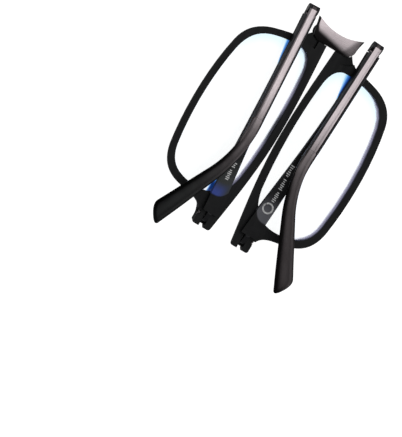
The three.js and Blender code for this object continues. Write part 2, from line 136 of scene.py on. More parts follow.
class Maker:
    def __init__(self, name):
        self.material = bpy.data.materials.new(name)
        self.material.use_nodes = True
        self.tree = self.material.node_tree
        self.tree.nodes.clear()
        self.output = self.add("ShaderNodeOutputMaterial")
        self.place = self.add("ShaderNodeTexCoord").outputs["Object"]

    def add(self, kind, **settings):
        node = self.tree.nodes.new(kind)
        for key, value in settings.items():
            setattr(node, key, value)
        return node

    def put(self, socket, value):
        if isinstance(value, bpy.types.NodeSocket):
            self.tree.links.new(value, socket)
        else:
            socket.default_value = value

    def math(self, operation, first, second=0.0, clamp=False):
        node = self.add("ShaderNodeMath", operation=operation, use_clamp=clamp)
        self.put(node.inputs[0], first)
        self.put(node.inputs[1], second)
        return node.outputs[0]

    def product(self, first, *others):
        result = first
        for other in others:
            result = self.math("MULTIPLY", result, other)
        return result

    def axis(self, name):
        node = self.add("ShaderNodeSeparateXYZ")
        self.put(node.inputs[0], self.place)
        return node.outputs[name]

    def scaled(self, scale):
        node = self.add("ShaderNodeMapping")
        self.put(node.inputs["Vector"], self.place)
        node.inputs["Scale"].default_value = scale
        return node.outputs[0]

    def noise(self, size, detail=3.0, rough=0.55, place=None):
        node = self.add("ShaderNodeTexNoise")
        self.put(node.inputs["Vector"], place or self.place)
        node.inputs["Scale"].default_value = 1 / size
        node.inputs["Detail"].default_value = detail
        node.inputs["Roughness"].default_value = rough
        return node.outputs["Fac"]

    def between(self, value, low, high, to_low=0.0, to_high=1.0, smooth=True):
        node = self.add("ShaderNodeMapRange")
        node.interpolation_type = "SMOOTHSTEP" if smooth else "LINEAR"
        numbers = (value, low, high, to_low, to_high)
        for socket, number in zip(node.inputs, numbers):
            self.put(socket, number)
        return node.outputs[0]

    def spread(self, noise, to_low, to_high):
        """A noise's usual range, stretched over the values given."""
        return self.between(noise, NOISE_LOW, NOISE_HIGH, to_low, to_high)

    def mix(self, factor, first, second, blend="MIX"):
        node = self.add("ShaderNodeMix", data_type="RGBA", blend_type=blend)
        self.put(node.inputs[0], factor)
        self.put(node.inputs[6], first)
        self.put(node.inputs[7], second)
        return node.outputs[2]

    def grey_of(self, value):
        node = self.add("ShaderNodeCombineColor")
        for socket in node.inputs[:3]:
            self.put(socket, value)
        return node.outputs[0]

    def attribute(self, name):
        return self.add("ShaderNodeAttribute", attribute_name=name).outputs["Fac"]

    def ramp(self, value, low, high, stops):
        """Colours at given values between low and high, blended straight from one to the next."""
        node = self.add("ShaderNodeValToRGB")
        self.put(node.inputs[0], self.between(value, low, high, smooth=False))
        points = node.color_ramp.elements
        while len(points) < len(stops):
            points.new(0.5)
        for point, (at, colour) in zip(points, stops):
            point.position = (at - low) / (high - low)
            point.color = colour
        return node.outputs[0]

    def bump(self, height, distance, strength):
        node = self.add("ShaderNodeBump")
        self.put(node.inputs["Height"], height)
        node.inputs["Distance"].default_value = distance
        node.inputs["Strength"].default_value = strength
        return node.outputs[0]

    def surface(self, **values):
        node = self.add("ShaderNodeBsdfPrincipled")
        for key, value in values.items():
            self.put(node.inputs[key.replace("_", " ")], value)
        self.tree.links.new(node.outputs[0], self.output.inputs["Surface"])
        return self.material


def grey(value):
    return (value, value, value, 1.0)


def warm(value):
    return (value, value * 0.86, value * 0.88, 1.0)


# Materials

def black_frame_material():
    """Moulded nylon, satin black: a fine grain, soft mottling and faint rub marks."""
    m = Maker("black_frame")
    cloud = m.noise(6 * MM, 2)
    grain = m.noise(0.16 * MM, 2)
    rub = m.noise(1.0, 4, 0.6, m.scaled((900, 90, 900)))
    colour = m.mix(cloud, (0.0052, 0.0056, 0.0062, 1), (0.0088, 0.0090, 0.0098, 1))
    rough = m.spread(rub, 0.40, 0.52)
    return m.surface(
        Base_Color=colour, Roughness=rough, Specular_IOR_Level=0.18,
        Normal=m.bump(grain, 0.012 * MM, 0.5))


# Each front half's patch of painted light near the endpiece: its colour, and where it has died
# out and is full, in mm from the endpiece.
PAINTED_LIGHT_PATCHES = {
    "left": ((0.16, 0.16, 0.18, 1), 15, 8),
    "right": ((0.055, 0.06, 0.06, 1), 21, 9),
}
FRONT_BLACK = (0.008, 0.008, 0.009, 1)
# The painted reflection of the lens coating's blue, on the right front half.
BLUE_SHEEN = (0.06, 0.10, 0.42, 1)
# The painted light patch's outer border, bowed as the end of the rim's lens opening is: how far
# out its middle is, half its width, how far the bow rises, where it starts, up from the endpiece,
# and its power.
BORDER_MIDDLE = 8.7 * MM
BORDER_HALF = 3.85 * MM
BORDER_BOW = 1.8 * MM
BORDER_START = 4.6 * MM
BORDER_POWER = 3.5


def beyond_border(m, low):
    """How far past the painted light patch's curved outer border each place is."""
    inward = m.math("SUBTRACT", BORDER_MIDDLE, m.math("ABSOLUTE", m.axis("X")))
    part = m.math("MAXIMUM", m.math("DIVIDE", inward, BORDER_HALF), 0.0)
    bow = m.math("MULTIPLY", m.math("POWER", part, BORDER_POWER), BORDER_BOW)
    return m.math("SUBTRACT", m.axis("Y"), m.math("ADD", bow, low.y + BORDER_START))


def front_half_material(label):
    """A front half's satin inner face: black, with a lighter patch of painted light near the
    endpiece.
    """
    m = Maker("front_half_" + label)
    tone, gone, full = PAINTED_LIGHT_PATCHES[label]
    cloud = m.noise(3 * MM, 3)
    grain = m.noise(0.16 * MM, 2)
    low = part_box("temple_front_left")[0]
    # Painted light: the patch rises past the bowed border and dies out further up.
    beyond = beyond_border(m, low)
    rising = m.between(beyond, 0.0, 0.6 * MM)
    wander = m.math("ADD", m.axis("Y"), m.math("MULTIPLY", cloud, 2 * MM))
    falling = m.between(wander, low.y + gone * MM, low.y + full * MM)
    # Painted reflection: the lens coating's blue, painted on the right one's outer corner.
    outer = m.between(m.axis("X"), -4.5 * MM, -7.5 * MM)
    corner = m.between(beyond, 4.5 * MM, 1 * MM)
    painted_patch = m.mix(m.product(outer, corner), tone, BLUE_SHEEN)
    return m.surface(
        Base_Color=m.mix(m.product(rising, falling), FRONT_BLACK, painted_patch),
        Roughness=m.spread(cloud, 0.42, 0.54), Specular_IOR_Level=0.18,
        Normal=m.bump(grain, 0.012 * MM, 0.5))


def dark_metal_material():
    m = Maker("dark_metal")
    cloud = m.noise(2.5 * MM, 3)
    grain = m.noise(0.12 * MM, 2)
    colour = m.mix(cloud, (0.018, 0.018, 0.020, 1), (0.032, 0.031, 0.034, 1))
    rough = m.spread(cloud, 0.34, 0.46)
    return m.surface(
        Base_Color=colour, Metallic=0.5, Roughness=rough, Specular_IOR_Level=0.3,
        Normal=m.bump(grain, 0.008 * MM, 0.4))


def steel_material():
    """Turned screws and pins: rings round the axis, and darker dirt in random clouds."""
    m = Maker("steel")
    lathe = m.noise(1.0, 2, 0.5, m.scaled((9000, 400, 400)))
    cloud = m.noise(0.8 * MM, 3)
    colour = m.mix(cloud, (0.42, 0.41, 0.41, 1), (0.62, 0.61, 0.60, 1))
    return m.surface(
        Base_Color=colour, Metallic=1.0, Roughness=m.spread(lathe, 0.22, 0.36),
        Normal=m.bump(lathe, 0.004 * MM, 0.4))


def nylon_material():
    m = Maker("nylon")
    cloud = m.noise(0.7 * MM, 2)
    colour = m.mix(cloud, (0.03, 0.03, 0.034, 1), (0.05, 0.05, 0.055, 1))
    return m.surface(Base_Color=colour, Roughness=m.spread(cloud, 0.5, 0.62))


GUNMETAL_LIGHT = (0.57, 0.505, 0.52, 1)
GUNMETAL_DEEP = (0.46, 0.40, 0.41, 1)
# The black of the bridge's painted shade.
PAINTED_SHADE_BLACK = (0.012, 0.011, 0.011, 1)
# How light the plating is along the rear half, in mm from its hinge.
PLATING = (
    (0, 1.0), (22, 1.0), (26, 0.86), (30, 0.66), (33, 0.42), (36, 0.26), (40, 0.15),
    (46, 0.105), (56, 0.085), (72, 0.07))
PLATING_END = 80


def plating(m):
    """How much of the light plating is left at each distance from the middle hinge."""
    wobble = m.math("MULTIPLY", m.math("SUBTRACT", m.noise(2.5 * MM, 2), 0.5), 1.6)
    along = m.math("ADD", m.attribute("along"), wobble)
    return m.ramp(along, 0, PLATING_END, [(at, grey(value)) for at, value in PLATING])


def streaked(m, fine, cloud, light):
    """Clouded gunmetal with lighter brushed streaks."""
    plated = m.mix(cloud, GUNMETAL_DEEP, GUNMETAL_LIGHT)
    return m.mix(m.spread(fine, 0, 0.3), plated, light)


def brushed_along(m):
    """Fine streaks that run along the folded temples."""
    return m.noise(1.0, 3, 0.6, m.scaled((9000, 160, 9000)))


def rear_plating(m, fine):
    """Streaked gunmetal times the plating left at each place along the rear half."""
    metal = streaked(m, fine, m.noise(5 * MM, 2), (0.66, 0.58, 0.60, 1))
    return m.mix(1.0, metal, plating(m), "MULTIPLY")


def gunmetal_strip_material():
    """Brushed gunmetal with a warm tint, lighter at the hinge and darker towards the tip."""
    m = Maker("gunmetal_strip")
    fine = brushed_along(m)
    return m.surface(
        Base_Color=rear_plating(m, fine), Metallic=1.0,
        Roughness=m.spread(fine, 0.27, 0.38),
        Normal=m.bump(fine, 0.003 * MM, 0.35))


# Painted shade: the plating darkens towards the lower edge, along a line that leans across the
# bridge.
SHADE_LEAN = 0.2
# The flared ends lean out towards the nose edge, from this height up, and the painted shade at the
# ends follows them.
FLARE_LEAN = 0.5
FLARE_HEIGHT = 2.65 * MM


def bridge_painted_shade(m):
    """Painted shade: 1 where the bridge's plating is whole, falling towards its lower edge and its
    ends.
    """
    low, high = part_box("bridge_cover")
    sideways = m.math("SUBTRACT", m.axis("X"), (low.x + high.x) / 2)
    up = m.math("SUBTRACT", m.axis("Y"), low.y)
    height = m.math("ADD", up, m.math("MULTIPLY", sideways, SHADE_LEAN))
    lower = m.between(height, 0.8 * MM, 2.5 * MM)
    flare = m.math("MULTIPLY", m.math("SUBTRACT", up, FLARE_HEIGHT), FLARE_LEAN)
    near_left = m.math("SUBTRACT", m.math("MULTIPLY", sideways, -1), flare)
    near_right = m.math("SUBTRACT", sideways, flare)
    left_end = m.between(near_left, 5.9 * MM, 5.3 * MM)
    right_end = m.between(near_right, 4.8 * MM, 3.4 * MM, 0.42, 1.0)
    return m.product(lower, left_end, right_end)


def gunmetal_bridge_material():
    """The same plating brushed across the bridge, darkened to black by painted shade towards its
    lower edge.
    """
    m = Maker("gunmetal_bridge")
    fine = m.noise(1.0, 3, 0.6, m.scaled((300, 9000, 9000)))
    metal = streaked(m, fine, m.noise(3 * MM, 2), (0.64, 0.56, 0.57, 1))
    # Painted shade takes the plating to black towards the lower edge and the ends.
    return m.surface(
        Base_Color=m.mix(bridge_painted_shade(m), PAINTED_SHADE_BLACK, metal), Metallic=1.0,
        Roughness=m.spread(fine, 0.26, 0.36),
        Normal=m.bump(fine, 0.003 * MM, 0.3))


def shaded(m, colour, shade, start, full):
    """The colour times the shade, coming in from start to full, in mm from the middle hinge."""
    reach = m.between(m.attribute("along"), start, full)
    return m.mix(reach, colour, m.mix(1.0, colour, shade, "MULTIPLY"))


def tip_material():
    """Soft-coated gunmetal: the strip's plating runs out over it into dark brown, under painted
    light and shade.
    """
    m = Maker("temple_tip")
    cloud = m.noise(4 * MM, 3)
    grain = m.noise(0.2 * MM, 2)
    low, high = cad_box
    # Painted shade: the right tip is made the dimmer one.
    lit = m.between(m.axis("X"), low[0] * 0.8, high[0] * 0.7)
    painted_dimming = m.mix(lit, (0.36, 0.42, 0.41, 1), grey(1.0))
    # Painted light and shade across each section: lighter on the side that faces +X, darker on the
    # other.
    painted_facing_shade = m.between(m.attribute("facing"), -1.0, 0.7, 0.3, 1.4)
    colour = rear_plating(m, brushed_along(m))
    colour = shaded(m, colour, painted_dimming, 38, 58)
    colour = shaded(m, colour, m.grey_of(painted_facing_shade), 34, 48)
    colour = m.mix(m.attribute("rail"), colour, warm(0.02))
    return m.surface(
        Base_Color=colour, Metallic=1.0, Roughness=m.spread(cloud, 0.30, 0.38),
        Normal=m.bump(grain, 0.008 * MM, 0.4))


def hinge_metal_material():
    """Blackened steel of the middle hinge, rubbed lighter in patches."""
    m = Maker("hinge_metal")
    cloud = m.noise(0.9 * MM, 3)
    grain = m.noise(0.12 * MM, 2)
    colour = m.mix(m.between(cloud, 0.35, 0.65), warm(0.09), warm(0.17))
    return m.surface(
        Base_Color=colour, Metallic=0.9, Roughness=m.spread(cloud, 0.30, 0.42),
        Normal=m.bump(grain, 0.008 * MM, 0.4))


def paint_material():
    m = Maker("mark_paint")
    cloud = m.noise(0.25 * MM, 3)
    colour = m.mix(m.between(cloud, 0.35, 0.7), (0.92, 0.92, 0.91, 1), (0.55, 0.55, 0.55, 1))
    return m.surface(Base_Color=colour, Roughness=m.spread(cloud, 0.5, 0.65))


# The coating's blue reflection beside each temple, painted into the lens: the temple's -X edge
# where it crosses the top of the lens, in mm, how far that edge drifts to +X going down, the
# reflection's width at its two ends, in mm, and its strength.
GLINTS = {
    "left": (8.9, -0.05, 1.8, 0.3, 1.0),
    "right": (-11.4, 0.11, 0.7, 0.2, 0.68),
}
GLINT_LENGTH = 7.0 * MM
CORNER_GLINT = 0.95
# The painted reflection's colour from none of it to the strongest.
GLINT_COLOURS = (
    (0, grey(1.0)), (0.3, (0.40, 0.69, 0.96, 1)), (0.55, (0.10, 0.28, 0.70, 1)),
    (0.8, (0.015, 0.075, 0.33, 1)), (1.0, (0.001, 0.012, 0.08, 1)))
# The colour of the bevel's painted glow, at distances from the lens's edge.
BEVEL_GLOW_COLOURS = (
    (0.6 * MM, (0.02, 0.02, 0.035, 1)), (0.85 * MM, (0.16, 0.16, 0.24, 1)),
    (1.2 * MM, (0.42, 0.40, 0.53, 1)))
# How fully the bevel's painted glow covers the glass.
BEVEL_GLOW_COVER = 0.92
# The painted sheen at the nose end starts this far along the lens.
NOSE_SHEEN_START = 0.72


def coating_glint(m, label):
    """The painted reflection: 1 at the temple's edge, falling to 0 across the reflection's width.
    """
    edge, drift, wide, narrow, strength = GLINTS[label]
    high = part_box("lens_" + label)[1]
    down = m.math("SUBTRACT", high.y, m.axis("Y"))
    line = m.math("ADD", edge * MM, m.math("MULTIPLY", down, drift))
    beside = m.math("SUBTRACT", line, m.axis("X"))
    width = m.between(down, 1.0 * MM, GLINT_LENGTH, wide * MM, narrow * MM, smooth=False)
    near = m.math("SUBTRACT", 1.0, m.math("DIVIDE", beside, width), clamp=True)
    under = m.between(beside, -1.0 * MM, -0.3 * MM)
    fade = m.between(down, GLINT_LENGTH + 1.5 * MM, GLINT_LENGTH - 1 * MM)
    return m.product(near, strength, under, fade)


def corner_glint(m, low):
    """A painted reflection: the small blue patch in the lower corner, between the temple tip and
    the front half.
    """
    across = m.between(m.axis("X"), low.x + 14.8 * MM, low.x + 15.5 * MM)
    beyond = m.between(m.axis("X"), low.x + 19.0 * MM, low.x + 17.5 * MM)
    up = m.between(m.axis("Y"), low.y + 6.5 * MM, low.y + 3.5 * MM)
    return m.product(across, beyond, up, CORNER_GLINT)


def bevel_shadow(m, low, high):
    """Painted shade on the bevel's painted glow: darker halfway along, where it faces the other
    rim, and at the nose end.
    """
    middle = (low.y + high.y) / 2 + 1 * MM
    away = m.math("ABSOLUTE", m.math("SUBTRACT", m.axis("Y"), middle))
    facing = m.between(away, 2 * MM, 7 * MM, 0.12, 0.85)
    nose = m.between(m.axis("Y"), high.y - 13 * MM, high.y - 5 * MM, 1.0, 0.3)
    return m.math("MULTIPLY", facing, nose)


def lens_tint_and_reflections(m, label, low, high):
    """What the glass lets through: nearly all, less the nose end's painted sheen and the painted
    reflections.
    """
    nose = m.between(m.axis("Y"), low.y + NOSE_SHEEN_START * (high.y - low.y), high.y)
    sheen = m.product(m.between(m.attribute("edge"), 4.5 * MM, 0.8 * MM), nose, 0.5)
    tint_and_reflections = m.mix(sheen, (0.99, 0.995, 0.995, 1), (0.78, 0.95, 1.0, 1))
    glint = coating_glint(m, label)
    if label == "right":
        glint = m.math("MAXIMUM", glint, corner_glint(m, low))
    # Only the back surface shows the painted reflections, so that they are not seen twice.
    glint = m.math("MULTIPLY", glint, m.attribute("back"))
    return m.mix(1.0, tint_and_reflections, m.ramp(glint, 0, 1, GLINT_COLOURS), "MULTIPLY")


def shader_mix(m, factor, first, second):
    node = m.add("ShaderNodeMixShader")
    m.put(node.inputs[0], factor)
    m.put(node.inputs[1], first.outputs[0])
    m.put(node.inputs[2], second.outputs[0])
    return node


def coated_glass(m, tint_and_reflections):
    """Tinted clear glass, carrying the painted sheen and reflections, under the coating's bluish
    mirror.
    """
    clear = m.add("ShaderNodeBsdfTransparent")
    m.put(clear.inputs[0], tint_and_reflections)
    gloss = m.add("ShaderNodeBsdfGlossy")
    gloss.inputs["Roughness"].default_value = 0.03
    cloud = m.noise(9 * MM, 2)
    m.put(gloss.inputs[0], m.mix(cloud, (0.45, 0.66, 1.0, 1), (0.55, 0.60, 1.0, 1)))
    # Schlick's curve, which is the same from both sides of the glass.
    facing = m.add("ShaderNodeLayerWeight").outputs["Facing"]
    mirror = m.math("ADD", m.math("MULTIPLY", m.math("POWER", facing, 5.0), 0.9), 0.04)
    return shader_mix(m, mirror, clear, gloss)


def painted_bevel_glow(m, label, low, high):
    """The bevel's painted reflection, which glows a little as if light came in through the lens."""
    glow_colour = m.ramp(m.attribute("edge"), 0.6 * MM, 1.3 * MM, BEVEL_GLOW_COLOURS)
    if label == "right":
        glow_colour = m.mix(1.0, glow_colour, m.grey_of(bevel_shadow(m, low, high)), "MULTIPLY")
    glow_shader = m.add("ShaderNodeBsdfPrincipled")
    glow_shader.inputs["Roughness"].default_value = 0.5
    glow_shader.inputs["Emission Strength"].default_value = 0.6
    m.put(glow_shader.inputs["Base Color"], glow_colour)
    m.put(glow_shader.inputs["Emission Color"], glow_colour)
    return glow_shader


def lens_material(label):
    """Clear, with painted blue reflections of the coating in places and a painted glowing bevel
    seen along one side.
    """
    m = Maker("lens_" + label)
    low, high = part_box("lens_" + label)
    glass = coated_glass(m, lens_tint_and_reflections(m, label, low, high))
    glow_shader = painted_bevel_glow(m, label, low, high)
    # Painted glow: the band near the edge, on the lit side, shows the glowing bevel.
    band = m.between(m.attribute("edge"), 1.5 * MM, 0.9 * MM)
    glow_mask = m.product(band, m.attribute("lit_side"), BEVEL_GLOW_COVER)
    both = shader_mix(m, glow_mask, glass, glow_shader)
    m.tree.links.new(both.outputs[0], m.output.inputs["Surface"])
    return m.material


def stage_material():
    m = Maker("stage")
    cloud = m.noise(0.3, 2)
    colour = m.mix(cloud, grey(0.36), grey(0.40))
    return m.surface(
        Base_Color=colour, Roughness=0.8, Specular_IOR_Level=0.1,
        Emission_Color=grey(1.0), Emission_Strength=1.0)


# Stage and lights

SKY = 0.22
FLOOR_SIZE = 4.0
FLOOR_DROP = 0.05 * MM
# Each lamp's name, place, side in metres, and radiance.
LAMPS = (
    ("overhead", (0.02, 0.22, 1.0), 0.62, 1.5),
    ("side", (0.95, 0.1, 0.75), 0.8, 1.1),
    ("nose_end", (0.1, 1.0, 0.5), 0.5, 1.0),
)


def make_stage():
    bpy.ops.mesh.primitive_plane_add(size=FLOOR_SIZE, location=(0, 0, -FLOOR_DROP))
    floor = bpy.context.object
    floor.name = "floor"
    floor.data.materials.append(stage_material())
    # The floor sends no light back up, so that black sides stay black.
    floor.visible_diffuse = False
    floor.visible_glossy = False


def area_light(name, place, size, radiance):
    """A square lamp facing the middle of the object, as bright as a surface of that radiance."""
    data = bpy.data.lights.new(name, "AREA")
    data.shape = "SQUARE"
    data.size = size
    data.energy = radiance * math.pi * size * size
    lamp = bpy.data.objects.new(name, data)
    bpy.context.scene.collection.objects.link(lamp)
    lamp.location = place
    lamp.rotation_euler = Vector(place).to_track_quat("Z", "Y").to_euler()


def make_lights():
    world = bpy.data.worlds.new("studio")
    world.use_nodes = True
    sky = world.node_tree.nodes["Background"]
    sky.inputs["Color"].default_value = (0.96, 0.98, 1.0, 1)
    sky.inputs["Strength"].default_value = SKY
    bpy.context.scene.world = world
    for lamp in LAMPS:
        area_light(*lamp)


make_stage()
make_lights()

finish = {
    "black_frame": black_frame_material(),
    "front_left": front_half_material("left"),
    "front_right": front_half_material("right"),
    "dark_metal": dark_metal_material(),
    "steel": steel_material(),
    "nylon": nylon_material(),
    "strip": gunmetal_strip_material(),
    "bridge": gunmetal_bridge_material(),
    "temple_tip": tip_material(),
    "hinge": hinge_metal_material(),
    "paint": paint_material(),
}


# Mesh helpers

def new_piece(name, mesh, body, material, slot, *stands_for):
    piece = bpy.data.objects.new(name, mesh)
    bpy.context.scene.collection.objects.link(piece)
    mesh.materials.append(material)
    for face in mesh.polygons:
        face.use_smooth = True
    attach(piece, body)
    if stands_for:
        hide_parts(*stands_for)


def new_mesh(name, verts, faces):
    mesh = bpy.data.meshes.new(name)
    mesh.from_pydata(verts, [], faces)
    return mesh


MERGE_ANGLE = math.radians(1)
SOFTEN_ANGLE = math.radians(40)
SOFTEN_SEGMENTS = 3


def dressed(name, material, width=0.0):
    """A CAD node keeps its shape, with its facets merged and its sharp edges rounded."""
    node = nodes[name]
    node.data.materials.clear()
    node.data.materials.append(material)
    for face in node.data.polygons:
        face.use_smooth = True
    if width:
        merge = node.modifiers.new("merge", "DECIMATE")
        merge.decimate_type = "DISSOLVE"
        merge.angle_limit = MERGE_ANGLE
        soften = node.modifiers.new("soften", "BEVEL")
        soften.width = width
        soften.segments = SOFTEN_SEGMENTS
        soften.limit_method = "ANGLE"
        soften.angle_limit = SOFTEN_ANGLE
        soften.use_clamp_overlap = False
        soften.harden_normals = True
    normals = node.modifiers.new("normals", "WEIGHTED_NORMAL")
    normals.keep_sharp = True


def measured(mesh, name, values):
    mesh.attributes.new(name, "FLOAT", "POINT").data.foreach_set("value", values)


def smooth(low, high, value):
    t = min(max((value - low) / (high - low), 0), 1)
    return t * t * (3 - 2 * t)


def ring_of(name):
    """The node's outline at its highest level, in order round its centre, and that centre."""
    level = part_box(name)[1].z
    near = 0.005 * MM
    ring = [v.co.copy() for v in nodes[name].data.vertices if abs(v.co.z - level) < near]
    unique = {(round(p.x, 6), round(p.y, 6)): p for p in ring}
    points = list(unique.values())
    centre = sum(points, Vector()) / len(points)
    points.sort(key=lambda p: math.atan2(p.y - centre.y, p.x - centre.x))
    return points, centre


def web(first, count, rings):
    """Faces from a centre point, first, out through rings of count points each."""
    def at(k, i):
        return first + 1 + k * count + i % count

    faces = []
    for i in range(count):
        faces.append([first, at(0, i), at(0, i + 1)])
        for k in range(rings - 1):
            faces.append([at(k, i), at(k + 1, i), at(k + 1, i + 1), at(k, i + 1)])
    return faces


# Lenses

LENS_RINGS = (0.2, 0.4, 0.55, 0.66, 0.75, 0.81, 0.86, 0.9, 0.93, 0.96, 0.98, 1.0)
LENS_THICK = 1.2 * MM
LENS_FRONT_SAG = 0.95 * MM
LENS_BACK_SAG = 0.3 * MM
# The distance from the edge that is given to a lens's centre point.
LENS_WELL_IN = 10 * MM
LENS_SHARP = math.radians(40)


def outward_normals(ring):
    """At each point of an outline, the level direction that points away from it."""
    count = len(ring)
    alongs = [ring[(i + 1) % count] - ring[i - 1] for i in range(count)]
    return [Vector((along.y, -along.x, 0)).normalized() for along in alongs]


def dome(ring, centre, edge_level, sag):
    """A dished face's points: each one's place, its distance from the edge and its lit side."""
    normals = outward_normals(ring)
    points = [(Vector((centre.x, centre.y, edge_level - sag)), LENS_WELL_IN, 0.0)]
    for reach in LENS_RINGS:
        level = edge_level - sag * (1 - reach * reach)
        for p, normal in zip(ring, normals):
            spot = centre.lerp(p, reach)
            inside = (1 - reach) * (p - centre).dot(normal)
            # The lit side, the outline's +X side, is where the bevel's painted glow shows.
            lit = smooth(0.3, 0.75, normal.x)
            points.append((Vector((spot.x, spot.y, level)), inside, lit))
    return points


def lens(label):
    """A thin shell dished on both faces, which tells its material where the edge is."""
    name = "lens_" + label
    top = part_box(name)[1].z
    ring, centre = ring_of(name)
    count = len(ring)
    back = dome(ring, centre, top, LENS_BACK_SAG)
    front = dome(ring, centre, top - LENS_THICK, LENS_FRONT_SAG)
    half = len(back)
    faces = web(0, count, len(LENS_RINGS))
    faces += [face[::-1] for face in web(half, count, len(LENS_RINGS))]
    back_rim = half - count
    front_rim = 2 * half - count
    for i in range(count):
        j = (i + 1) % count
        faces.append([front_rim + i, front_rim + j, back_rim + j, back_rim + i])
    verts, edges, lit = zip(*(back + front))
    mesh = new_mesh(name + "_glass", verts, faces)
    measured(mesh, "edge", edges)
    measured(mesh, "lit_side", lit)
    measured(mesh, "back", [1.0] * half + [0.0] * half)
    new_piece(name + "_glass", mesh, "rim_" + label, lens_material(label), "lens", name)
    mesh.set_sharp_from_angle(angle=LENS_SHARP)


# Bridge

SADDLE_FACET = 0.45 * MM
SADDLE_RINGS = 14
SADDLE_DEPTH = 0.5 * MM
# The part of that depth rolled away at the lower edge and at the ends, and each roll's power.
SADDLE_DOWN = (0.75, 2.2)
SADDLE_OUT = (0.30, 5)
PLATE_SHARP = math.radians(50)


def divided(ring, longest):
    """The outline with its sides cut into parts of about that length."""
    dense = []
    for i, p in enumerate(ring):
        q = ring[(i + 1) % len(ring)]
        parts = max(1, round((q - p).length / longest))
        dense.extend(p.lerp(q, k / parts) for k in range(parts))
    return dense


def bridge_cover():
    """A domed saddle plate: level at its nose edge, rolled away to the lower edge and the ends."""
    low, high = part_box("bridge_cover")
    ring, centre = ring_of("bridge_cover")
    dense = divided(ring, SADDLE_FACET)
    count = len(dense)

    def on_top(p):
        down = (high.y - p.y) / (high.y - low.y)
        out = abs(p.x - centre.x) / (high.x - centre.x)
        roll = SADDLE_DOWN[0] * down ** SADDLE_DOWN[1] + SADDLE_OUT[0] * out ** SADDLE_OUT[1]
        return Vector((p.x, p.y, high.z - min(1.0, roll) * SADDLE_DEPTH))

    verts = [on_top(centre)]
    for k in range(1, SADDLE_RINGS + 1):
        verts.extend(on_top(centre.lerp(p, k / SADDLE_RINGS)) for p in dense)
    bottom = len(verts)
    verts.extend(Vector((p.x, p.y, low.z)) for p in dense)
    verts.append(Vector((centre.x, centre.y, low.z)))
    faces = web(0, count, SADDLE_RINGS + 1)
    for i in range(count):
        faces.append([bottom + (i + 1) % count, bottom + i, bottom + count])
    mesh = new_mesh("bridge_cover_plate", verts, faces)
    new_piece(
        "bridge_cover_plate", mesh, "bridge", finish["bridge"], "gunmetal", "bridge_cover")
    mesh.set_sharp_from_angle(angle=PLATE_SHARP)


# Rear halves

def rear_station(s):
    """The centre, the way across and the half width, at s along the rear half's centre line."""
    bent = min(max((s - BEND_START) / BEND_RADIUS, 0), BEND_ANGLE)
    tail = max(0, s - BEND_START - BEND_RADIUS * BEND_ANGLE)
    straight = min(s, BEND_START)
    x = STRIP_OFFSET + BEND_RADIUS * (1 - math.cos(bent)) + tail * math.sin(bent)
    y = -(straight + BEND_RADIUS * math.sin(bent) + tail * math.cos(bent))
    half = (STRIP_WIDTH + (TIP_WIDTH - STRIP_WIDTH) * smooth(WIDEN_FROM, WIDEN_TO, s)) / 2
    return Vector((x, y, 0)), Vector((math.cos(bent), math.sin(bent), 0)), half


def rear_frame(label, side):
    """The matrix from the rear half's own frame to the row frame, with X mirrored for side -1."""
    joint = joints["middle_fold_" + label]
    x_axis = -Vector(joint["axis"])
    y_axis = Vector((0, 0, 1)).cross(x_axis)
    turn = Matrix((x_axis, y_axis, Vector((0, 0, 1)))).transposed().to_4x4()
    turn.translation = Vector(joint["pos_m"])
    rise = Matrix.Rotation(-REST_RISE, 4, "X")
    return turn @ rise @ Matrix.Diagonal((side, 1, 1, 1))


def lofted(name, sections, place):
    """A closed skin through sections of equal point counts, with both ends capped."""
    count = len(sections[0])
    verts = [place @ p for section in sections for p in section]
    faces = []
    last = len(verts) - count
    for first in range(0, last, count):
        for i in range(count):
            j = (i + 1) % count
            faces.append([first + i, first + j, first + count + j, first + count + i])
    faces.append(list(range(count))[::-1])
    faces.append(list(range(last, len(verts))))
    mesh = new_mesh(name, verts, faces)
    bm = bmesh.new()
    bm.from_mesh(mesh)
    bmesh.ops.recalc_face_normals(bm, faces=bm.faces)
    bm.to_mesh(mesh)
    bm.free()
    return mesh


COVER_PROFILE = 14
COVER_STEPS = 40
# The brow edge's small rounding: how far across it begins, and how deep it goes.
COVER_SOFT_FROM = 0.86
COVER_SOFT = 0.05 * MM
# The roll away towards the cheek: its depth, where it begins across, and how far that moves.
ROLL_DEPTH = 0.3 * MM
ROLL_START = 0.3
ROLL_DRIFT = 0.4


def roll_at(s, t):
    """How far the top has rolled away at t across; the roll moves towards the brow along s."""
    start = ROLL_START - ROLL_DRIFT * smooth(10 * MM, 33 * MM, s)
    return ROLL_DEPTH * (max(0, t - start) / (1 - start)) ** 2


def rail_at(s):
    """The dark rail's width either side of the plating, a little less from the middle on."""
    return RAIL + (RAIL_LOWER - RAIL) * smooth(12 * MM, 26 * MM, s)


def cover_section(s):
    """Flat on the brow side, rolled away towards the cheek side."""
    centre, across, half = rear_station(s)
    reach = half - rail_at(s)
    section = []
    for i in range(COVER_PROFILE + 1):
        t = 2 * i / COVER_PROFILE - 1
        soft = max(0, -t - COVER_SOFT_FROM) / (1 - COVER_SOFT_FROM)
        height = COVER_TOP - roll_at(s, t) - COVER_SOFT * soft ** 2
        section.append(centre + across * reach * t + Vector((0, 0, height)))
    section.append(centre + across * reach + Vector((0, 0, COVER_FLOOR)))
    section.append(centre - across * reach + Vector((0, 0, COVER_FLOOR)))
    return section


def temple_cover(label, side):
    name = "temple_cover_" + label
    step = (COVER_END - COVER_START) / COVER_STEPS
    stations = [COVER_START + step * k for k in range(COVER_STEPS + 1)]
    sections = [cover_section(s) for s in stations]
    mesh = lofted(name + "_plate", sections, rear_frame(label, side))
    measured(mesh, "along", [s / MM for s in stations for _ in sections[0]])
    new_piece(name + "_plate", mesh, "temple_rear_" + label, finish["strip"], "gunmetal", name)
    mesh.set_sharp_from_angle(angle=PLATE_SHARP)


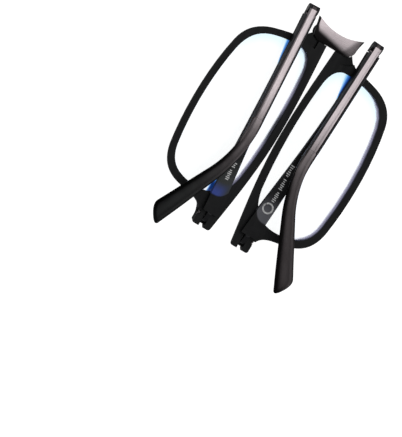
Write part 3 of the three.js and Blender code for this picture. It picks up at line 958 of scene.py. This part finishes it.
TIP_SIDES = 52
TIP_ANGLES = [2 * math.pi * (i + 0.5) / TIP_SIDES for i in range(TIP_SIDES)]
TIP_STEPS = 56
TIP_SKIN = 0.02 * MM
# The ends are cut at a slant and closed by a low rounded cap.
TIP_SLANT = 0.62
TIP_SLANT_RUN = 6 * MM
TIP_CAP = 1.5 * MM
TIP_CAP_STEPS = 10
TIP_CAP_POWER = 0.6
# The cap's last section stays this part of a step short of a point.
TIP_CAP_OPEN = 0.6
TIP_CAP_THIN = 0.3
# The length over which the section turns from a box into a rounded shape, and that shape's powers.
TIP_MORPH = 16 * MM
TIP_POWER_ACROSS = 0.8
TIP_POWER_UP = 0.85
TIP_SHARP = math.radians(60)
# How far across the section the dark rails begin.
RAIL_FROM = 0.65


def boxed(angle):
    """The cosine and sine of the angle, stretched out to the sides of a square."""
    c = math.cos(angle)
    d = math.sin(angle)
    side = max(abs(c), abs(d))
    return c / side, d / side


def rounded(angle):
    """The cosine and sine of the angle, swelled a little towards a square."""
    c = math.cos(angle)
    d = math.sin(angle)
    across = math.copysign(abs(c) ** TIP_POWER_ACROSS, c)
    up = math.copysign(abs(d) ** TIP_POWER_UP, d)
    return across, up


def tip_section(s, shrink, slant):
    """Boxy and rolled like the strip at its start, and rounder behind the ear."""
    centre, across, half = rear_station(s)
    along = Vector((across.y, -across.x, 0))
    rounder = smooth(SLEEVE_START, SLEEVE_START + TIP_MORPH, s)
    top = COVER_TOP + (SLEEVE_HIGH - COVER_TOP) * rounder
    mid = (SLEEVE_LOW + top) / 2
    thick = (top - SLEEVE_LOW) / 2 * (TIP_CAP_THIN + (1 - TIP_CAP_THIN) * shrink)
    reach = (half + TIP_SKIN) * shrink
    section = []
    for angle in TIP_ANGLES:
        box_u, box_v = boxed(angle)
        round_u, round_v = rounded(angle)
        u = box_u + (round_u - box_u) * rounder
        v = box_v + (round_v - box_v) * rounder
        on_strip = min(1, u * half / (half - rail_at(s)))
        roll = roll_at(s, on_strip) * (1 - rounder) if v > 0 else 0
        lean = -u * half * slant * TIP_SLANT * shrink
        lift = Vector((0, 0, mid + thick * v - roll))
        section.append(centre + across * reach * u + along * lean + lift)
    return section


def rail_shade(s):
    """1 on the dark rails beside the plating and 0 between them, dying out along the sleeve."""
    left = 1 - smooth(SLEEVE_START + 1 * MM, SLEEVE_START + 9 * MM, s)
    shades = []
    for angle in TIP_ANGLES:
        outer = abs(boxed(angle)[0]) > RAIL_FROM
        shades.append(left if outer or math.sin(angle) < 0 else 0.0)
    return shades


def tip_stations():
    """Along the sleeve and its cap: how far, how much of the section, how much of the slant."""
    end = BEND_START + BEND_RADIUS * BEND_ANGLE + TAIL
    body_end = end - TIP_CAP
    stations = []
    for k in range(TIP_STEPS + 1):
        s = SLEEVE_START + (body_end - SLEEVE_START) * k / TIP_STEPS
        stations.append((s, 1.0, smooth(body_end - TIP_SLANT_RUN, body_end, s)))
    for k in range(1, TIP_CAP_STEPS + 1):
        angle = math.pi / 2 * k / (TIP_CAP_STEPS + TIP_CAP_OPEN)
        s = body_end + TIP_CAP * math.sin(angle)
        stations.append((s, math.cos(angle) ** TIP_CAP_POWER, 1.0))
    return stations


def temple_tip(label, side):
    name = "temple_tip_" + label
    stations = tip_stations()
    places = [station[0] for station in stations]
    sections = [tip_section(*station) for station in stations]
    # Which way each side of the section faces across, for the tip's painted light and shade.
    turns = [side * math.cos(angle) for angle in TIP_ANGLES]
    mesh = lofted(name + "_sleeve", sections, rear_frame(label, side))
    measured(mesh, "along", [s / MM for s in places for _ in TIP_ANGLES])
    measured(mesh, "rail", [shade for s in places for shade in rail_shade(s)])
    measured(mesh, "facing", turns * len(stations))
    new_piece(
        name + "_sleeve", mesh, "temple_rear_" + label, finish["temple_tip"], "temple_tip", name)
    mesh.set_sharp_from_angle(angle=TIP_SHARP)


# Marks

MARK_THICK = 0.03 * MM
MARK_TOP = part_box("temple_front_left")[1].z
RING_INNER = 1.15 * MM
RING_OUTER = 1.6 * MM
RING_STEPS = 28
BAR_HEIGHTS = (0.9, 1.1, 0.7, 1.1, 0.9, 0.6)
BAR_HALF_WIDTH = 0.15 * MM
# The step from bar to bar, as a part of the front half's length; each seventh place stays empty.
BAR_STEP = 0.011
BAR_GROUP = 7
# The row bends this far aside, to the part that the rear half leaves uncovered.
ROW_ASIDE = 1.1 * MM
# The front half's two long sides as Bezier curves, in mm, from the endpiece to the middle hinge.
FRONT_END = -59.4
FRONT_INNER = ((3.9, FRONT_END), (4.7, -47), (8.7, -28), (8.78, -0.1))
FRONT_OUTER = ((8.3, FRONT_END), (9.6, -48), (9.4, -30), (11.83, -0.1))


def on_curve(points, t):
    a, b, c, d = (Vector(p) for p in points)
    back = 1 - t
    return a * back ** 3 + b * 3 * t * back ** 2 + c * 3 * t ** 2 * back + d * t ** 3


def front_middle(t):
    return (on_curve(FRONT_INNER, t) + on_curve(FRONT_OUTER, t)) / 2


def front_line(t, side):
    """A point on the front half's centre line, the way along it and the way across it."""
    spot = front_middle(t)
    along = (front_middle(t + 0.01) - spot).normalized()
    across = Vector((along.y, -along.x))
    flip = Vector((side, 1))
    lift = Vector((0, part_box("temple_front_left")[0].y - FRONT_END * MM))
    return spot * flip * MM + lift, along * flip, across * flip


def slab(bm, corners):
    """A thin closed slab on a polygon of X, Y corners, half of it sunk in the front half."""
    low = [bm.verts.new((p.x, p.y, MARK_TOP - MARK_THICK)) for p in corners]
    high = [bm.verts.new((p.x, p.y, MARK_TOP + MARK_THICK)) for p in corners]
    count = len(corners)
    bm.faces.new(high)
    bm.faces.new(low[::-1])
    for i in range(count):
        j = (i + 1) % count
        bm.faces.new((low[i], low[j], high[j], high[i]))


def add_bar(bm, t, side, index):
    spot, along, across = front_line(t, side)
    spot = spot + Vector((-side * ROW_ASIDE * smooth(0.28, 0.5, t), 0))
    tall = across * BAR_HEIGHTS[index % len(BAR_HEIGHTS)] * MM / 2
    wide = along * BAR_HALF_WIDTH
    slab(bm, [spot - tall - wide, spot + tall - wide, spot + tall + wide, spot - tall + wide])


def add_ring(bm, t, side):
    spot = front_line(t, side)[0]
    turns = [2 * math.pi * k / RING_STEPS for k in range(RING_STEPS + 1)]
    rays = [Vector((math.cos(turn), math.sin(turn))) for turn in turns]
    for p, q in zip(rays, rays[1:]):
        slab(bm, [
            spot + p * RING_INNER, spot + p * RING_OUTER,
            spot + q * RING_OUTER, spot + q * RING_INNER])


def marks(label, side, start, end, ring_at):
    """Plain bars in a row down the front half, and a plain ring at its end where asked for."""
    bm = bmesh.new()
    t = start
    index = 0
    while t < end:
        if index % BAR_GROUP != BAR_GROUP - 1:
            add_bar(bm, t, side, index)
        t += BAR_STEP
        index += 1
    if ring_at:
        add_ring(bm, ring_at, side)
    bmesh.ops.remove_doubles(bm, verts=bm.verts, dist=1e-7)
    bmesh.ops.recalc_face_normals(bm, faces=bm.faces)
    mesh = bpy.data.meshes.new("marks_" + label)
    bm.to_mesh(mesh)
    bm.free()
    new_piece("marks_" + label, mesh, "temple_front_" + label, finish["paint"], "black_frame")
    mesh.set_sharp_from_angle(angle=math.radians(30))


# Assembly

dressed("bridge_body", finish["black_frame"], 0.18 * MM)
dressed("bridge_front_plate", finish["bridge"], 0.12 * MM)
bridge_cover()
for label, side in SIDES:
    dressed("bridge_pin_" + label, finish["steel"], 0.06 * MM)
    dressed("bridge_washer_" + label, finish["nylon"])
    dressed("rim_" + label, finish["black_frame"], 0.15 * MM)
    lens(label)
    dressed("temple_leaf_" + label, finish["dark_metal"], 0.1 * MM)
    dressed("temple_front_" + label, finish["front_" + label], 0.1 * MM)
    dressed("hinge_screw_" + label, finish["hinge"], 0.05 * MM)
    dressed("middle_fork_" + label, finish["dark_metal"], 0.06 * MM)
    dressed("middle_screw_" + label, finish["steel"], 0.05 * MM)
    dressed("middle_eye_" + label, finish["hinge"], 0.12 * MM)
    dressed("temple_rear_" + label, finish["dark_metal"], 0.08 * MM)
    temple_cover(label, side)
    temple_tip(label, side)
marks("left", 1, 0.275, 0.50, 0.225)
marks("right", -1, 0.25, 0.35, None)
